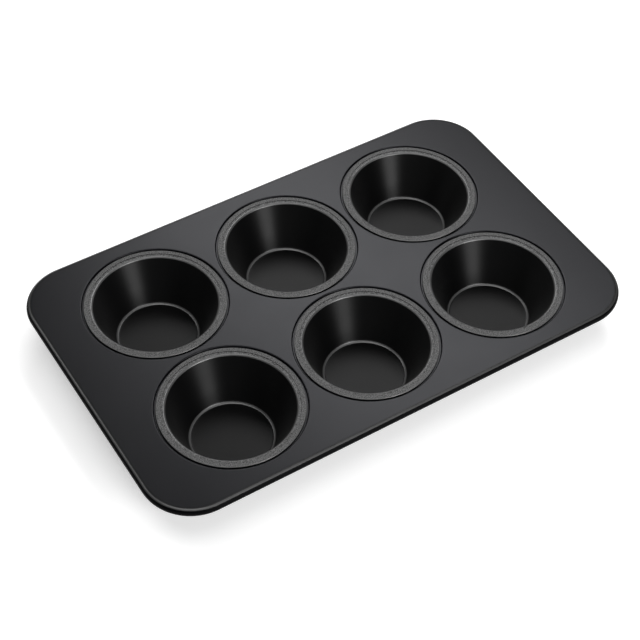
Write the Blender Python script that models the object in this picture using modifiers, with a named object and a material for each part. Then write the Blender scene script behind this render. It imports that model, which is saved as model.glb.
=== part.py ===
"""Six-cup muffin pan: drawn cups set flush in a sheet deck whose edge is rolled round a wire.

Metres, +Z up. The origin is on the table under the middle of the pan. +X runs along the long side
and +Y towards the back row of cups. Heights are above the table.
"""

import math

import bmesh
import bpy

# Steel sheet and wire
DECK_SHEET = 0.0008
CUP_SHEET = 0.0008
WIRE_RADIUS = 0.0015
WIRE_JOINT = 0.0010
CLEARANCE = 0.0003

# Cup: radii and depth are of its inside, as if wall, floor and deck met in sharp corners
MOUTH_RADIUS = 0.03467
FOOT_RADIUS = 0.0230
CUP_DEPTH = 0.0270
FLANGE_WIDTH = 0.00468
LIP_ROUNDING = 0.0015
BASE_ROUNDING = 0.0025

# Seat: the step pressed into the deck for a cup's flange, and the neck that centres the cup
GROOVE_WIDTH = 0.00075
SHOULDER_ROUNDING = 0.0008
NECK_DEPTH = 0.0025
NECK_ROUNDING = 0.0012

# Layout of the deck: flat web between neighbouring seats, and flat margin out to the rolled rim
COLUMN_WEB = 0.0022
ROW_WEB = 0.0015
END_MARGIN = 0.0231
SIDE_MARGIN = 0.0101
CORNER_RADIUS = 0.0283
COLUMNS = ("left", "middle", "right")
ROWS = ("front", "back")

# Fineness of the round shapes
ROUND_STEPS = 32
CORNER_STEPS = 8
BEND_STEPS = 3
CURL_STEPS = 10
WIRE_BEVEL_RESOLUTION = 2
CURL_TURN = math.radians(300)
MERGE_DISTANCE = 0.00001
SMOOTH_BELOW = math.radians(35)

# Heights
DECK_TOP = CUP_DEPTH + CUP_SHEET
DECK_MIDDLE = DECK_TOP - DECK_SHEET / 2
SEAT_MIDDLE = DECK_MIDDLE - CUP_SHEET - CLEARANCE
FLANGE_MIDDLE = DECK_TOP - CUP_SHEET / 2
CUP_FLOOR = DECK_TOP - CUP_DEPTH
BASE_MIDDLE = CUP_FLOOR - CUP_SHEET / 2

# Radii round a cup's axis
FLANGE_RADIUS = MOUTH_RADIUS + FLANGE_WIDTH
SEAT_WALL_MIDDLE = FLANGE_RADIUS + GROOVE_WIDTH + DECK_SHEET / 2
SEAT_OUTER = FLANGE_RADIUS + GROOVE_WIDTH + SHOULDER_ROUNDING

# Plan of the deck
COLUMN_PITCH = 2 * SEAT_OUTER + COLUMN_WEB
ROW_PITCH = 2 * SEAT_OUTER + ROW_WEB
HALF_LENGTH = (len(COLUMNS) - 1) / 2 * COLUMN_PITCH + SEAT_OUTER + END_MARGIN
HALF_WIDTH = (len(ROWS) - 1) / 2 * ROW_PITCH + SEAT_OUTER + SIDE_MARGIN
RIM_RADIUS = WIRE_RADIUS + CLEARANCE + DECK_SHEET
CORNER_CENTRE_X = HALF_LENGTH - CORNER_RADIUS
CORNER_CENTRE_Y = HALF_WIDTH - CORNER_RADIUS


def cup_wall_radius(height, outwards):
    """Radius at a height on the cone that lies a distance outwards of the cup's inner wall."""
    slope = (MOUTH_RADIUS - FOOT_RADIUS) / CUP_DEPTH
    return FOOT_RADIUS + slope * (height - CUP_FLOOR) + outwards * math.hypot(1, slope)


def rounded_profile(points, roundings, steps):
    """A polyline whose inner corners are arcs, each at most half as long as the sides beside it."""
    rounded = [points[0]]
    for before, corner, after, radius in zip(points, points[1:], points[2:], roundings):
        back = (before[0] - corner[0], before[1] - corner[1])
        ahead = (after[0] - corner[0], after[1] - corner[1])
        back_length = math.hypot(*back)
        ahead_length = math.hypot(*ahead)
        back = (back[0] / back_length, back[1] / back_length)
        ahead = (ahead[0] / ahead_length, ahead[1] / ahead_length)
        half_angle = math.acos(back[0] * ahead[0] + back[1] * ahead[1]) / 2
        reach = min(radius / math.tan(half_angle), back_length / 2, ahead_length / 2)
        radius = reach * math.tan(half_angle)
        middle = (back[0] + ahead[0], back[1] + ahead[1])
        to_centre = radius / math.sin(half_angle) / math.hypot(*middle)
        centre = (corner[0] + middle[0] * to_centre, corner[1] + middle[1] * to_centre)
        start = math.atan2(corner[1] + back[1] * reach - centre[1], corner[0] + back[0] * reach - centre[0])
        end = math.atan2(corner[1] + ahead[1] * reach - centre[1], corner[0] + ahead[0] * reach - centre[0])
        turn = (end - start + math.pi) % (2 * math.pi) - math.pi
        for step in range(steps + 1):
            angle = start + turn * step / steps
            rounded.append((centre[0] + radius * math.cos(angle), centre[1] + radius * math.sin(angle)))
    rounded.append(points[-1])
    return rounded


def rounded_rectangle(inset):
    """Points round the deck's outline, moved in by inset, from the back left corner anticlockwise."""
    radius = CORNER_RADIUS - inset
    outline = []
    for side_x, side_y, first in ((-1, 1, 90), (-1, -1, 180), (1, -1, 270), (1, 1, 0)):
        for step in range(CORNER_STEPS + 1):
            angle = math.radians(first + 90 * step / CORNER_STEPS)
            x = side_x * CORNER_CENTRE_X + radius * math.cos(angle)
            y = side_y * CORNER_CENTRE_Y + radius * math.sin(angle)
            outline.append((x, y))
    return outline


def circle(centre, radius):
    """Points round a circle in plan."""
    angles = [2 * math.pi * step / ROUND_STEPS for step in range(ROUND_STEPS)]
    return [(centre[0] + radius * math.cos(a), centre[1] + radius * math.sin(a)) for a in angles]


def coated_steel(name, grey, roughness, metallic):
    """A Principled material of the pan's dark non-stick coating."""
    finish = bpy.data.materials.new(name)
    finish.use_nodes = True
    shader = finish.node_tree.nodes["Principled BSDF"]
    shader.inputs["Base Color"].default_value = (grey, grey, grey, 1)
    shader.inputs["Roughness"].default_value = roughness
    shader.inputs["Metallic"].default_value = metallic
    return finish


def place_part(name, data):
    """Puts a mesh or curve into the pan's collection as a named part."""
    part = bpy.data.objects.new(name, data)
    pan.objects.link(part)
    return part


def give_thickness(part, thickness):
    """Turns an open surface into sheet, half of the thickness to each side."""
    solidify = part.modifiers.new("Sheet", "SOLIDIFY")
    solidify.thickness = thickness
    solidify.offset = 0
    solidify.use_even_offset = True


def edge_loop(mesh, points, height):
    """A closed ring of edges through points in plan."""
    verts = [mesh.verts.new((x, y, height)) for x, y in points]
    return [mesh.edges.new(pair) for pair in zip(verts, verts[1:] + verts[:1])]


def extrude_loop(mesh, edges, place):
    """Extrudes a ring of edges and moves each new vertex to where place puts it."""
    grown = bmesh.ops.extrude_edge_only(mesh, edges=edges)["geom"]
    verts = {item for item in grown if isinstance(item, bmesh.types.BMVert)}
    for vert in verts:
        vert.co = place(vert.co)
    return [item for item in grown if isinstance(item, bmesh.types.BMEdge) and verts.issuperset(item.verts)]


def seat_profile():
    """The deck's middle surface from the flat down into the seat, across it and down the neck."""
    neck_offset = CUP_SHEET + CLEARANCE + DECK_SHEET / 2
    neck_end = SEAT_MIDDLE - NECK_DEPTH
    corners = [
        (SEAT_OUTER + COLUMN_WEB / 2, DECK_MIDDLE),
        (SEAT_WALL_MIDDLE, DECK_MIDDLE),
        (SEAT_WALL_MIDDLE, SEAT_MIDDLE),
        (cup_wall_radius(SEAT_MIDDLE, neck_offset), SEAT_MIDDLE),
        (cup_wall_radius(neck_end, neck_offset), neck_end),
    ]
    shoulder = rounded_profile(corners[:3], [SHOULDER_ROUNDING - DECK_SHEET / 2], BEND_STEPS - 1)
    neck = rounded_profile(corners[2:], [NECK_ROUNDING - DECK_SHEET / 2], BEND_STEPS - 1)
    return shoulder[1:] + neck[1:]


def seat_cup_in_deck(mesh, edges, centre, profile):
    """Draws one hole's edge down along the seat's profile."""
    for radius, height in profile:
        def place(spot):
            away = math.hypot(spot.x - centre[0], spot.y - centre[1])
            x = centre[0] + (spot.x - centre[0]) / away * radius
            y = centre[1] + (spot.y - centre[1]) / away * radius
            return (x, y, height)

        edges = extrude_loop(mesh, edges, place)


def roll_rim(mesh, edges):
    """Curls the deck's outline down, round the wire and back up to the sheet's underside."""
    curl_radius = RIM_RADIUS - DECK_SHEET / 2
    for step in range(1, CURL_STEPS + 1):
        turn = CURL_TURN * step / CURL_STEPS
        reach = CORNER_RADIUS - RIM_RADIUS + curl_radius * math.sin(turn)
        height = DECK_TOP - RIM_RADIUS + curl_radius * math.cos(turn)

        def place(spot):
            root_x = max(-CORNER_CENTRE_X, min(CORNER_CENTRE_X, spot.x))
            root_y = max(-CORNER_CENTRE_Y, min(CORNER_CENTRE_Y, spot.y))
            away = math.hypot(spot.x - root_x, spot.y - root_y)
            x = root_x + (spot.x - root_x) / away * reach
            y = root_y + (spot.y - root_y) / away * reach
            return (x, y, height)

        edges = extrude_loop(mesh, edges, place)


def make_deck(centres):
    """The deck sheet: flat, with a pressed seat and neck for each cup and its edge rolled."""
    profile = seat_profile()
    mesh = bmesh.new()
    outline = edge_loop(mesh, rounded_rectangle(RIM_RADIUS), DECK_MIDDLE)
    holes = [edge_loop(mesh, circle(centre, profile[0][0]), DECK_MIDDLE) for centre in centres]
    bmesh.ops.triangle_fill(mesh, use_beauty=True, edges=mesh.edges[:])
    for centre, edges in zip(centres, holes):
        seat_cup_in_deck(mesh, edges, centre, profile[1:])
    roll_rim(mesh, outline)
    bmesh.ops.recalc_face_normals(mesh, faces=mesh.faces)
    sheet = bpy.data.meshes.new("deck")
    mesh.to_mesh(sheet)
    mesh.free()
    sheet.shade_smooth()
    sheet.set_sharp_from_angle(angle=SMOOTH_BELOW)
    sheet.materials.append(coated_steel("deck_coating", 0.045, 0.42, 0.35))
    give_thickness(place_part("deck", sheet), DECK_SHEET)


def make_rim_wire():
    """The wire inside the rolled rim, bent to the outline, its ends meeting at the back."""
    outline = rounded_rectangle(RIM_RADIUS)
    back = HALF_WIDTH - RIM_RADIUS
    route = [(-WIRE_JOINT / 2, back)] + outline + [(WIRE_JOINT / 2, back)]
    path = bpy.data.curves.new("rim_wire", "CURVE")
    path.dimensions = "3D"
    path.bevel_depth = WIRE_RADIUS
    path.bevel_resolution = WIRE_BEVEL_RESOLUTION
    path.use_fill_caps = True
    spline = path.splines.new("POLY")
    spline.points.add(len(route) - 1)
    for point, (x, y) in zip(spline.points, route):
        point.co = (x, y, DECK_TOP - RIM_RADIUS, 1)
    path.materials.append(coated_steel("bare_wire", 0.32, 0.38, 1.0))
    place_part("rim_wire", path)


def cup_profile():
    """A cup's middle surface, from the flange's edge down the wall to the middle of the base."""
    half = CUP_SHEET / 2
    corners = [
        (FLANGE_RADIUS, FLANGE_MIDDLE),
        (cup_wall_radius(FLANGE_MIDDLE, half), FLANGE_MIDDLE),
        (cup_wall_radius(BASE_MIDDLE, half), BASE_MIDDLE),
        (0, BASE_MIDDLE),
    ]
    return rounded_profile(corners, [LIP_ROUNDING - half, BASE_ROUNDING + half], BEND_STEPS)


def make_cups(names, centres):
    """The cups: one drawn shape, turned from its profile, seated in each hole of the deck."""
    profile = cup_profile()
    lines = [(index, index + 1) for index in range(len(profile) - 1)]
    shape = bpy.data.meshes.new("cup")
    shape.from_pydata([(radius, 0, height) for radius, height in profile], lines, [])
    shape.materials.append(coated_steel("cup_coating", 0.055, 0.36, 0.4))
    for name, (x, y) in zip(names, centres):
        cup = place_part(name, shape)
        cup.location = (x, y, 0)
        turning = cup.modifiers.new("Turning", "SCREW")
        turning.steps = ROUND_STEPS
        turning.render_steps = ROUND_STEPS
        turning.use_merge_vertices = True
        turning.merge_threshold = MERGE_DISTANCE
        turning.use_smooth_shade = True
        give_thickness(cup, CUP_SHEET)


for old in list(bpy.data.objects):
    bpy.data.objects.remove(old, do_unlink=True)

pan = bpy.data.collections.new("Muffin pan")
bpy.context.scene.collection.children.link(pan)

cup_names = []
cup_centres = []
for row, row_name in enumerate(ROWS):
    for column, column_name in enumerate(COLUMNS):
        cup_names.append(f"cup_{row_name}_{column_name}")
        centre_x = (column - (len(COLUMNS) - 1) / 2) * COLUMN_PITCH
        centre_y = (row - (len(ROWS) - 1) / 2) * ROW_PITCH
        cup_centres.append((centre_x, centre_y))

make_deck(cup_centres)
make_rim_wire()
make_cups(cup_names, cup_centres)
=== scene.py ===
import math

import bmesh
import bpy
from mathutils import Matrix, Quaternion, Vector


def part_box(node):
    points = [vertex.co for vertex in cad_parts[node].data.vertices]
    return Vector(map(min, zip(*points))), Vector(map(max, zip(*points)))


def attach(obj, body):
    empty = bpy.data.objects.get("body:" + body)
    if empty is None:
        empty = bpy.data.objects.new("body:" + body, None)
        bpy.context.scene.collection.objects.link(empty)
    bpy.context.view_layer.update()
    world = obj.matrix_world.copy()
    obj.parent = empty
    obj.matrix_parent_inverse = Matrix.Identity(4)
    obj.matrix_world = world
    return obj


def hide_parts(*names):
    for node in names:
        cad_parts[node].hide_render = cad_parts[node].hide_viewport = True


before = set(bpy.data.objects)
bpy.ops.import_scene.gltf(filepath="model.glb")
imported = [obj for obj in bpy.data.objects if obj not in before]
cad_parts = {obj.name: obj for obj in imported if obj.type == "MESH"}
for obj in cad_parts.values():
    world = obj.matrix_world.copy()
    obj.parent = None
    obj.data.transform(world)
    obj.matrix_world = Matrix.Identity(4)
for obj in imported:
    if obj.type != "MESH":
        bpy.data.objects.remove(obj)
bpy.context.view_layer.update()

# The six cups are drawn from steel sheet, each with a flat flange round its mouth, and are coated
# dark. Drawing leaves fine rings in the walls. The bends at the lip and the foot are glossier, and
# are painted lighter as a painted highlight. The flange is coined flat, which leaves its face
# grainy and lighter, with a fine step down to the lip.
CUP_NAMES = sorted(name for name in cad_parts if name.startswith("cup_"))
CUP_SHEET = 0.0008
MOUTH_RADIUS = 0.03467
FOOT_RADIUS = 0.0230
LIP_ROUNDING = 0.0016
LIP_DROP = 0.0003
STEP_RADIUS = 0.03665
STEP_RUN = 0.00005
FLANGE_ROUNDING = 0.0005
FLANGE_LOWER_ROUNDING = 0.00025
BASE_ROUNDING = 0.0025
CUP_DARK = (0.0008, 0.0008, 0.0009)
CUP_LIGHT = (0.0012, 0.0012, 0.0013)
ROUND_STEPS = 144
BEND_STEPS = 7
MERGE_WITHIN = 0.000002
SMOOTH_BELOW = math.radians(32)
# How far a face looks up, from 0 for upright to 1 for level, parts one finish from the next.
WALL_LOOKS_UP = 0.30
FOOT_LOOKS_UP = 0.72
FLOOR_LOOKS_UP = 0.95
LIP_LOOKS_UP = 0.45
FLANGE_LOOKS_UP = 0.97

cup_low, cup_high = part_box(CUP_NAMES[0])
flange_radius = (cup_high.x - cup_low.x) / 2
deck_top = cup_high.z
cup_depth = cup_high.z - CUP_SHEET


def cup_axis(name):
    """The point on the ground below the middle of a cup."""
    low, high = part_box(name)
    return Vector(((low.x + high.x) / 2, (low.y + high.y) / 2, 0))


def wall_radius(height, outwards=0):
    """Radius at a height of the cup's inner cone, or of a cone that lies outwards of it."""
    slope = (MOUTH_RADIUS - FOOT_RADIUS) / cup_depth
    return FOOT_RADIUS + slope * (height - CUP_SHEET) + outwards * math.hypot(1, slope)


def draw_section(mesh, corners):
    """Draws straight edges through points given as radius and height, and returns the points."""
    points = [mesh.verts.new((radius, 0, height)) for radius, height in corners]
    for pair in zip(points, points[1:]):
        mesh.edges.new(pair)
    return points


def round_corner(mesh, corner, radius):
    """Rounds one corner of a drawn section to a radius."""
    before, after = (edge.other_vert(corner).co - corner.co for edge in corner.link_edges)
    reach = radius / math.tan(before.angle(after) / 2)
    bmesh.ops.bevel(mesh, geom=[corner], offset=reach, offset_type="OFFSET", segments=BEND_STEPS,
                    profile=0.5, affect="VERTICES", material=-1)


def spin_round(mesh):
    """Turns what is drawn so far round the Z axis, and closes the seam and the poles."""
    bmesh.ops.spin(mesh, geom=mesh.verts[:] + mesh.edges[:], cent=(0, 0, 0), axis=(0, 0, 1),
                   angle=math.tau, steps=ROUND_STEPS, use_merge=True)
    bmesh.ops.remove_doubles(mesh, verts=mesh.verts[:], dist=MERGE_WITHIN)


def place_piece(name, mesh, finishes, slot, *nodes):
    """Makes a piece of a finished bmesh, riding on the pan in place of CAD nodes."""
    data = bpy.data.meshes.new(name)
    mesh.to_mesh(data)
    data.shade_smooth()
    data.set_sharp_from_angle(angle=SMOOTH_BELOW)
    for finish in finishes:
        data.materials.append(finish)
    piece = bpy.data.objects.new(name, data)
    bpy.context.scene.collection.objects.link(piece)
    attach(piece, "root")
    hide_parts(*nodes)
    return piece


def add_node(finish, kind, inputs=(), **settings):
    """Adds a node to a material with its settings and its input values or links."""
    node = finish.node_tree.nodes.new(kind)
    for name, value in settings.items():
        setattr(node, name, value)
    for name, value in dict(inputs).items():
        if isinstance(value, bpy.types.NodeSocket):
            finish.node_tree.links.new(value, node.inputs[name])
        else:
            node.inputs[name].default_value = value
    return node


def make_finish(name, specular):
    """A material with a Principled shader, and its Object coordinates."""
    finish = bpy.data.materials.new(name)
    finish.use_nodes = True
    shader = finish.node_tree.nodes["Principled BSDF"]
    shader.inputs["Specular IOR Level"].default_value = specular
    place = add_node(finish, "ShaderNodeTexCoord").outputs["Object"]
    return finish, shader, place


def mottle(finish, place, scale, detail, roughness=0.5):
    """An uneven value from 0 to 1 all over a surface, finer the larger its scale is."""
    return add_node(finish, "ShaderNodeTexNoise", {
        "Vector": place, "Scale": scale, "Detail": detail, "Roughness": roughness,
    }).outputs["Fac"]


def spread(finish, value, low, high):
    """Maps a value from 0 to 1 onto low to high."""
    return add_node(finish, "ShaderNodeMapRange",
                    {"Value": value, "To Min": low, "To Max": high}).outputs["Result"]


def tint(finish, value, dark, light):
    """Maps a value from 0 to 1 onto two colours."""
    mix = add_node(finish, "ShaderNodeMix", {"Factor": value}, data_type="RGBA")
    mix.inputs["A"].default_value = (*dark, 1)
    mix.inputs["B"].default_value = (*light, 1)
    return mix.outputs["Result"]


def roughen(finish, value, strength, distance):
    """Gives a surface the fine relief of a value from 0 to 1."""
    bump = add_node(finish, "ShaderNodeBump",
                    {"Height": value, "Strength": strength, "Distance": distance})
    shader = finish.node_tree.nodes["Principled BSDF"]
    finish.node_tree.links.new(bump.outputs["Normal"], shader.inputs["Normal"])


def turn_rings(finish, place, anisotropy):
    """Stretches highlights across fine rings that are turned about the nearest cup's axis."""
    first, last = cup_axis(CUP_NAMES[0]), cup_axis(CUP_NAMES[-1])
    pitch = Vector(((last.x - first.x) / 2, last.y - first.y, 1))
    links = finish.node_tree.links
    cell = add_node(finish, "ShaderNodeVectorMath", operation="WRAP")
    links.new(place, cell.inputs[0])
    cell.inputs[1].default_value = first + pitch / 2
    cell.inputs[2].default_value = first - pitch / 2
    out = add_node(finish, "ShaderNodeVectorMath", operation="MULTIPLY_ADD")
    links.new(cell.outputs["Vector"], out.inputs[0])
    out.inputs[1].default_value = (1, 1, 0)
    out.inputs[2].default_value = -first
    unit = add_node(finish, "ShaderNodeVectorMath", operation="NORMALIZE")
    links.new(out.outputs["Vector"], unit.inputs[0])
    shader = finish.node_tree.nodes["Principled BSDF"]
    shader.inputs["Anisotropic"].default_value = anisotropy
    links.new(unit.outputs["Vector"], shader.inputs["Tangent"])


def smooth_coating(name, dark, light, roughness, specular, anisotropy=0):
    """Baked non-stick coating: dark and satin, faintly cloudy, with the ripple of sprayed paint."""
    finish, shader, place = make_finish(name, specular)
    cloud = mottle(finish, place, scale=45, detail=3)
    links = finish.node_tree.links
    links.new(tint(finish, cloud, dark, light), shader.inputs["Base Color"])
    links.new(spread(finish, cloud, *roughness), shader.inputs["Roughness"])
    roughen(finish, mottle(finish, place, scale=900, detail=2), strength=0.15, distance=0.00002)
    if anisotropy:
        turn_rings(finish, place, anisotropy)
    return finish


def grainy_coating(name, dark, light, roughness, specular, anisotropy):
    """Coating over a coined face: lighter, rough, turned in fine rings, speckled by its grain."""
    finish, shader, place = make_finish(name, specular)
    grain = mottle(finish, place, scale=1800, detail=4, roughness=0.65)
    speckle = add_node(finish, "ShaderNodeMapRange",
                       {"Value": grain, "From Min": 0.40, "From Max": 0.60}).outputs["Result"]
    links = finish.node_tree.links
    links.new(tint(finish, speckle, dark, light), shader.inputs["Base Color"])
    links.new(spread(finish, grain, *roughness), shader.inputs["Roughness"])
    roughen(finish, grain, strength=0.4, distance=0.00005)
    turn_rings(finish, place, anisotropy)
    return finish


coated_cup = smooth_coating("coated_cup", CUP_DARK, CUP_LIGHT,
                            roughness=(0.39, 0.43), specular=0.105)
coated_wall = smooth_coating("coated_wall", CUP_DARK, CUP_LIGHT,
                             roughness=(0.36, 0.40), specular=0.30, anisotropy=0.80)
# Painted highlight: the lip and foot bends get a lighter colour than the coating, on top of a real
# high gloss.
bend_gloss_and_painted_highlight = smooth_coating("bend_gloss_and_painted_highlight", dark=(0.036, 0.036, 0.036), light=(0.054, 0.054, 0.054),
                             roughness=(0.34, 0.40), specular=0.95)
coined_flange = grainy_coating("coined_flange", dark=(0.008, 0.008, 0.008),
                               light=(0.143, 0.143, 0.143), roughness=(0.50, 0.60),
                               specular=0.2, anisotropy=0.8)
cup_finishes = (coated_cup, coated_wall, bend_gloss_and_painted_highlight, coined_flange)

lip_top = deck_top - LIP_DROP
flange_under = deck_top - CUP_SHEET
cup = bmesh.new()
section = draw_section(cup, [
    (0, CUP_SHEET),
    (FOOT_RADIUS, CUP_SHEET),
    (wall_radius(lip_top), lip_top),
    (STEP_RADIUS - STEP_RUN, lip_top),
    (STEP_RADIUS, deck_top),
    (flange_radius, deck_top),
    (flange_radius, flange_under),
    (wall_radius(flange_under, CUP_SHEET), flange_under),
    (wall_radius(0, CUP_SHEET), 0),
    (0, 0),
])
for corner, radius in (
    (1, BASE_ROUNDING),
    (2, LIP_ROUNDING),
    (5, FLANGE_ROUNDING),
    (6, FLANGE_LOWER_ROUNDING),
    (7, LIP_ROUNDING - CUP_SHEET),
    (8, BASE_ROUNDING + CUP_SHEET),
):
    round_corner(cup, section[corner], radius)
spin_round(cup)
bmesh.ops.recalc_face_normals(cup, faces=cup.faces[:])
# Faces of the lip and of the foot's bend take the painted highlight; the flange, walls and the rest
# keep their own finishes.
for face in cup.faces:
    middle = face.calc_center_median()
    up = face.normal.z
    inwards = face.normal.x * middle.x + face.normal.y * middle.y < 0
    on_lip = middle.z > lip_top - LIP_ROUNDING / 2
    finish = coated_cup
    if on_lip and up > FLANGE_LOOKS_UP:
        finish = coined_flange
    elif on_lip and up > LIP_LOOKS_UP or inwards and FOOT_LOOKS_UP < up < FLOOR_LOOKS_UP:
        finish = bend_gloss_and_painted_highlight
    elif inwards and WALL_LOOKS_UP < up < FOOT_LOOKS_UP:
        finish = coated_wall
    face.material_index = cup_finishes.index(finish)
for name in CUP_NAMES:
    seated = cup.copy()
    bmesh.ops.translate(seated, verts=seated.verts[:], vec=cup_axis(name))
    piece = place_piece("drawn_" + name, seated, cup_finishes, "cup_coating", name)
    piece.modifiers.new("Even shading", "WEIGHTED_NORMAL").keep_sharp = True
    seated.free()
cup.free()

# The deck is one sheet of steel, pressed down in a seat for each flange, with a neck that centres
# the cup. It has the same dark coating, a little smoother, and its edge is rolled round a wire. The
# top of the roll is glossier and is painted lighter as a painted highlight, fading in from the
# deck, and its side has its gloss turned down to stand in for shade, a painted shade.
DECK_SHEET = 0.0008
GROOVE_WIDTH = 0.00075
SHOULDER_ROUNDING = 0.0008
SEAT_CORNER_ROUNDING = 0.0005
SEAT_DEPTH = 0.0011
SEAT_MARGIN = 0.0006
NECK_DEPTH = 0.0025
NECK_ROUNDING = 0.0012
NECK_CLEARANCE = 0.0003
CORNER_RADIUS = 0.0283
CORNER_STEPS = 24
CURL_STEPS = 24
CURL_TURN = math.radians(300)
LEVEL_WITHIN = 0.000001
DECK_SHEEN = (0.93, 0.94, 1.0, 1)
# Each finish of the roll starts below a share of the height from the wire's middle to the deck:
# the fade into the painted highlight, the painted highlight, then the painted shade of the side.
FINISH_STARTS = (0.999, 0.97, 0.80)

deck_low, deck_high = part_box("deck")
rim_radius = (deck_high.z - deck_low.z) / 2
wire_line = Vector((0, deck_high.y - rim_radius, deck_top - rim_radius))
corner_middle = Vector((deck_high.x - CORNER_RADIUS, deck_high.y - CORNER_RADIUS, 0))
sheet_middle = deck_top - DECK_SHEET / 2
seat_middle = sheet_middle - SEAT_DEPTH
seat_wall = flange_radius + GROOVE_WIDTH + DECK_SHEET / 2
seat_reach = flange_radius + GROOVE_WIDTH + SHOULDER_ROUNDING + SEAT_MARGIN
neck_offset = CUP_SHEET + NECK_CLEARANCE + DECK_SHEET / 2
neck_end = seat_middle - NECK_DEPTH


def push_edges(mesh, edges, along):
    """Draws edges out along a vector, and returns the new row of edges."""
    grown = bmesh.ops.extrude_edge_only(mesh, edges=edges)["geom"]
    verts = {item for item in grown if isinstance(item, bmesh.types.BMVert)}
    bmesh.ops.translate(mesh, verts=list(verts), vec=along)
    return [item for item in grown
            if isinstance(item, bmesh.types.BMEdge) and verts.issuperset(item.verts)]


def carry_round_pan(mesh, edges, start, end):
    """Carries a section from the back of the pan, start along X, anticlockwise round to end."""
    turns = ((-1, 1), (-1, -1), (1, -1), (1, 1))
    legs = (corner_middle.x + start, 2 * corner_middle.y, 2 * corner_middle.x, 2 * corner_middle.y)
    for number, ((side_x, side_y), leg) in enumerate(zip(turns, legs)):
        heading = math.radians(180 + 90 * number)
        edges = push_edges(mesh, edges, (leg * math.cos(heading), leg * math.sin(heading), 0))
        verts = list({vert for edge in edges for vert in edge.verts})
        turned = bmesh.ops.spin(mesh, geom=verts + edges, axis=(0, 0, 1), angle=math.radians(90),
                                cent=(side_x * corner_middle.x, side_y * corner_middle.y, 0),
                                steps=CORNER_STEPS)
        edges = [item for item in turned["geom_last"] if isinstance(item, bmesh.types.BMEdge)]
    return push_edges(mesh, edges, (end - corner_middle.x, 0, 0))


coated_deck = smooth_coating("coated_deck", dark=(0.0010, 0.0010, 0.0014),
                             light=(0.0015, 0.0015, 0.0020), roughness=(0.30, 0.35), specular=0.17)
deck_shader = coated_deck.node_tree.nodes["Principled BSDF"]
deck_shader.inputs["Specular Tint"].default_value = DECK_SHEEN
# Painted highlight on the roll's top: lighter colours than the deck's coating, with a real higher
# gloss; the first band fades it in.
roll_painted_highlight_fade = smooth_coating("roll_painted_highlight_fade", dark=(0.006, 0.006, 0.006), light=(0.010, 0.010, 0.010),
                            roughness=(0.30, 0.36), specular=0.26)
roll_gloss_and_painted_highlight = smooth_coating("roll_gloss_and_painted_highlight", dark=(0.016, 0.016, 0.016), light=(0.026, 0.026, 0.026),
                             roughness=(0.34, 0.40), specular=0.75)
# Painted shade on the roll's side: the deck's coating with its gloss turned down, so that the side
# reads dark.
roll_side_painted_shade = smooth_coating("roll_side_painted_shade", dark=(0.0010, 0.0010, 0.0012),
                             light=(0.0015, 0.0015, 0.0018), roughness=(0.40, 0.46), specular=0.03)

seat = bmesh.new()
section = draw_section(seat, [
    (seat_reach, sheet_middle),
    (seat_wall, sheet_middle),
    (seat_wall, seat_middle),
    (wall_radius(seat_middle, neck_offset), seat_middle),
    (wall_radius(neck_end, neck_offset), neck_end),
])
for corner, radius in (
    (1, SHOULDER_ROUNDING - DECK_SHEET / 2),
    (2, SEAT_CORNER_ROUNDING),
    (3, NECK_ROUNDING - DECK_SHEET / 2),
):
    round_corner(seat, section[corner], radius)
spin_round(seat)
pressed_seat = bpy.data.meshes.new("pressed_seat")
seat.to_mesh(pressed_seat)
seat.free()

deck = bmesh.new()
edge_point = deck.verts.new((0, wire_line.y, sheet_middle))
bmesh.ops.spin(deck, geom=[edge_point], cent=wire_line, axis=(-1, 0, 0), angle=CURL_TURN,
               steps=CURL_STEPS)
plate_point = deck.verts.new((0, wire_line.y - SEAT_MARGIN, sheet_middle))
deck.edges.new((plate_point, edge_point))
carry_round_pan(deck, deck.edges[:], 0, 0)
# The roll's faces are banded by height into the painted highlight and the painted shade.
for face in deck.faces:
    rise = (face.calc_center_median().z - wire_line.z) / (sheet_middle - wire_line.z)
    face.material_index = sum(rise <= start for start in FINISH_STARTS)
for name in CUP_NAMES:
    count = len(deck.verts)
    deck.from_mesh(pressed_seat)
    bmesh.ops.translate(deck, verts=deck.verts[count:], vec=cup_axis(name))
bmesh.ops.remove_doubles(deck, verts=deck.verts[:], dist=MERGE_WITHIN)
flat_edges = [edge for edge in deck.edges if edge.is_boundary
              and all(abs(vert.co.z - sheet_middle) < LEVEL_WITHIN for vert in edge.verts)]
bmesh.ops.triangle_fill(deck, use_beauty=True, edges=flat_edges, normal=(0, 0, 1))
bmesh.ops.recalc_face_normals(deck, faces=deck.faces[:])
piece = place_piece("pressed_deck", deck, (coated_deck, roll_painted_highlight_fade, roll_gloss_and_painted_highlight, roll_side_painted_shade),
                    "deck_coating", "deck")
deck.free()
thickness = piece.modifiers.new("Sheet", "SOLIDIFY")
thickness.thickness = DECK_SHEET
thickness.offset = 0
thickness.use_even_offset = True
piece.modifiers.new("Even shading", "WEIGHTED_NORMAL").keep_sharp = True

# The rim wire stiffens the edge. It is bare drawn steel, bent to the pan's outline, and its two
# ends meet at the back.
WIRE_RADIUS = 0.0015
WIRE_JOINT = 0.0010
WIRE_SIDES = 24
WIRE_DARK = (0.40, 0.40, 0.39)
WIRE_LIGHT = (0.50, 0.50, 0.49)

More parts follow.
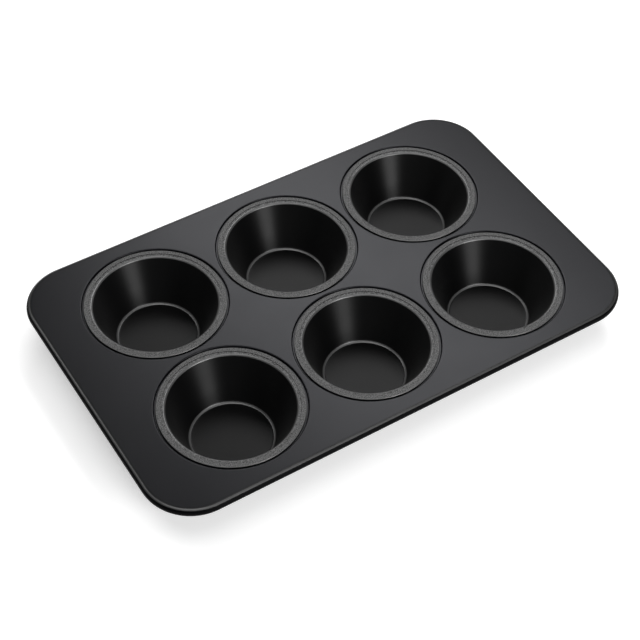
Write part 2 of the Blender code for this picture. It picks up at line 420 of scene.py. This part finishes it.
wire = bmesh.new()
bmesh.ops.create_circle(wire, radius=WIRE_RADIUS, segments=WIRE_SIDES)
bmesh.ops.rotate(wire, verts=wire.verts[:], cent=(0, 0, 0),
                 matrix=Quaternion((0, 1, 0), math.radians(90)).to_matrix())
bmesh.ops.translate(wire, verts=wire.verts[:], vec=wire_line + Vector((-WIRE_JOINT / 2, 0, 0)))
first_end = wire.edges[:]
last_end = carry_round_pan(wire, first_end, -WIRE_JOINT / 2, WIRE_JOINT / 2)
bmesh.ops.edgeloop_fill(wire, edges=first_end)
bmesh.ops.edgeloop_fill(wire, edges=last_end)
bmesh.ops.recalc_face_normals(wire, faces=wire.faces[:])
bare_wire, shader, place = make_finish("bare_wire", specular=0.5)
shader.inputs["Metallic"].default_value = 1
streaks = mottle(bare_wire, place, scale=600, detail=3)
links = bare_wire.node_tree.links
links.new(tint(bare_wire, streaks, WIRE_DARK, WIRE_LIGHT), shader.inputs["Base Color"])
links.new(spread(bare_wire, streaks, low=0.30, high=0.45), shader.inputs["Roughness"])
place_piece("drawn_rim_wire", wire, (bare_wire,), "rim_wire", "rim_wire")
wire.free()

# The pan stands on a plain pale floor, a hair below it so that the two don't share a plane. What
# the camera, gloss or glass sees of the floor is lifted to white, and the pan's shadow stays on it.
FLOOR_SIZE = 200.0
FLOOR_GAP = 0.0001
FLOOR_COLOUR = (0.8, 0.8, 0.8, 1)
FLOOR_GLOW = 0.45

floor_mesh = bmesh.new()
bmesh.ops.create_grid(floor_mesh, x_segments=1, y_segments=1, size=FLOOR_SIZE / 2)
bmesh.ops.translate(floor_mesh, verts=floor_mesh.verts[:], vec=(0, 0, -FLOOR_GAP))
data = bpy.data.meshes.new("floor")
floor_mesh.to_mesh(data)
floor_mesh.free()
floor = bpy.data.objects.new("floor", data)
bpy.context.scene.collection.objects.link(floor)


def seen_directly(holder):
    """1 for a ray from the camera, gloss or glass, and 0 for any other."""
    path = add_node(holder, "ShaderNodeLightPath")
    either = add_node(holder, "ShaderNodeMath", operation="MAXIMUM")
    seen = add_node(holder, "ShaderNodeMath", operation="MAXIMUM")
    links = holder.node_tree.links
    links.new(path.outputs["Is Camera Ray"], either.inputs[0])
    links.new(path.outputs["Is Glossy Ray"], either.inputs[1])
    links.new(either.outputs["Value"], seen.inputs[0])
    links.new(path.outputs["Is Transmission Ray"], seen.inputs[1])
    return seen.outputs["Value"]


pale_floor, shader, _ = make_finish("pale_floor", specular=0)
shader.inputs["Base Color"].default_value = FLOOR_COLOUR
shader.inputs["Roughness"].default_value = 1
shader.inputs["Emission Color"].default_value = (1, 1, 1, 1)
glow = spread(pale_floor, seen_directly(pale_floor), low=0, high=FLOOR_GLOW)
pale_floor.node_tree.links.new(glow, shader.inputs["Emission Strength"])
data.materials.append(pale_floor)

# Round it is a plain grey room. The light that it throws on the pan is a little dimmer than what
# the camera, gloss or glass sees of it.
ROOM_LIGHT = 0.05
ROOM_SEEN = 0.06

room = bpy.data.worlds.new("room")
bpy.context.scene.world = room
room.use_nodes = True
background = room.node_tree.nodes["Background"]
background.inputs["Color"].default_value = (1, 1, 1, 1)
strength = spread(room, seen_directly(room), low=ROOM_LIGHT, high=ROOM_SEEN)
room.node_tree.links.new(strength, background.inputs["Strength"])

# Soft lamps: a slanted one behind on the right gives the deck its sheen, a broad one in the ceiling
# and a dim one at each side light the lips and the rim, and one in front lights the back walls of
# the cups.
def hang_lamp(name, spot, width, height, brightness, tilt=0):
    """Hangs a rectangular area lamp at a spot, facing the pan, unseen by the camera."""
    lamp = bpy.data.lights.new(name, "AREA")
    lamp.shape = "RECTANGLE"
    lamp.size = width
    lamp.size_y = height
    lamp.energy = math.pi * width * height * brightness
    holder = bpy.data.objects.new(name, lamp)
    bpy.context.scene.collection.objects.link(holder)
    holder.location = spot
    holder.rotation_mode = "QUATERNION"
    facing = (-Vector(spot)).to_track_quat("-Z", "Y")
    holder.rotation_quaternion = facing @ Quaternion((0, 0, 1), math.radians(tilt))
    holder.visible_camera = False


hang_lamp("behind", (0.452, 0.57, 0.85), width=0.34, height=0.75, brightness=9.0, tilt=60)
hang_lamp("right", (0.46, -0.46, 1.00), width=0.55, height=0.25, brightness=1.5, tilt=50)
hang_lamp("left", (-0.36, 0.60, 0.75), width=0.30, height=0.30, brightness=4.0)
hang_lamp("ceiling", (-0.24, -0.12, 1.27), width=0.95, height=0.70, brightness=2.9)
hang_lamp("front", (0.17, -1.03, 0.56), width=0.44, height=0.50, brightness=13.5)

# The camera looks down from the front left, tilted a little, at the photograph's angle. It aims at
# a point of the deck close to the pan's middle.
CAMERA_AIM = Vector((-0.01341, -0.01550, deck_top))
CAMERA_DISTANCE = 0.8349
CAMERA_AZIMUTH = math.radians(-33.52)
CAMERA_ELEVATION = math.radians(49.0)
CAMERA_ROLL = math.radians(2.0)
CAMERA_LENS = 86.3
SENSOR_WIDTH = 36

lens = bpy.data.cameras.new("camera")
lens.lens = CAMERA_LENS
lens.sensor_width = SENSOR_WIDTH
camera = bpy.data.objects.new("camera", lens)
bpy.context.scene.collection.objects.link(camera)
bpy.context.scene.camera = camera
back = Vector((
    math.sin(CAMERA_AZIMUTH) * math.cos(CAMERA_ELEVATION),
    -math.cos(CAMERA_AZIMUTH) * math.cos(CAMERA_ELEVATION),
    math.sin(CAMERA_ELEVATION),
))
camera.location = CAMERA_AIM + back * CAMERA_DISTANCE
camera.rotation_mode = "QUATERNION"
camera.rotation_quaternion = (-back).to_track_quat("-Z", "Y") @ Quaternion((0, 0, 1), CAMERA_ROLL)
bpy.context.scene.view_settings.view_transform = "Standard"
